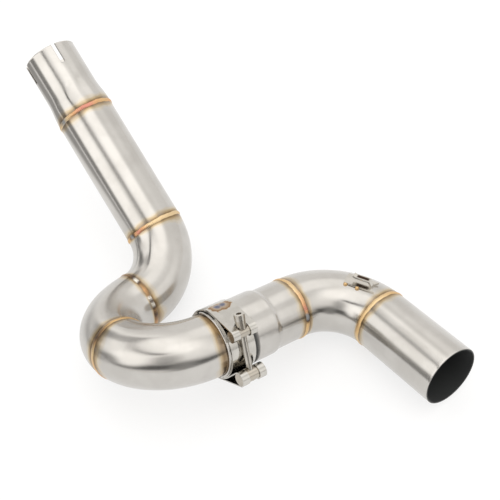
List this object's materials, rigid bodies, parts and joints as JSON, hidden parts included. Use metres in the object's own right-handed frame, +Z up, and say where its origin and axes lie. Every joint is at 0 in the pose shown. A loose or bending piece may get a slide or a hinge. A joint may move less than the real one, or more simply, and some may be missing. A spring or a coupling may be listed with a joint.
{
  "type": "motorbike exhaust mid pipe",
  "caption": "Bent stainless exhaust link pipe: slit inlet sleeve, welded elbows, a clamped slip joint, a spring hook and a plain outlet spigot",
  "frame": {"origin": "on the floor, under the middle of the object's box as it lies at rest", "axes": "+Z up; +X level, from the inlet's mouth towards the outlet's mouth; +Y level, square to both"},
  "size_m": [0.4532, 0.2137, 0.1578],
  "materials": {
    "tube_steel": "satin stainless with straw and brown heat tint beside the welds",
    "weld_bead": "rippled weld bead, gold to brown",
    "strap_steel": "rolled stainless strip, bright",
    "turned_steel": "turned steel, dull",
    "screw_steel": "plated screw, satin",
    "hook_steel": "pressed stainless strip"
  },
  "bodies": {
    "root": {"inlet_sleeve": "tube_steel", "straight_tube": "tube_steel", "upper_elbow": "tube_steel", "middle_elbow": "tube_steel", "lower_elbow": "tube_steel", "coupling_socket": "tube_steel", "rear_elbow": "tube_steel", "outlet_tube": "tube_steel", "inlet_weld": "weld_bead", "upper_weld": "weld_bead", "middle_weld": "weld_bead", "lower_weld": "weld_bead", "socket_weld": "weld_bead", "outlet_weld": "weld_bead", "hook_tacks": "weld_bead", "clamp_band": "strap_steel", "clamp_bridge": "strap_steel", "plain_trunnion": "turned_steel", "threaded_trunnion": "turned_steel", "clamp_spacer": "turned_steel", "clamp_bolt": "screw_steel", "spring_hook": "hook_steel"}
  },
  "joints": []
}
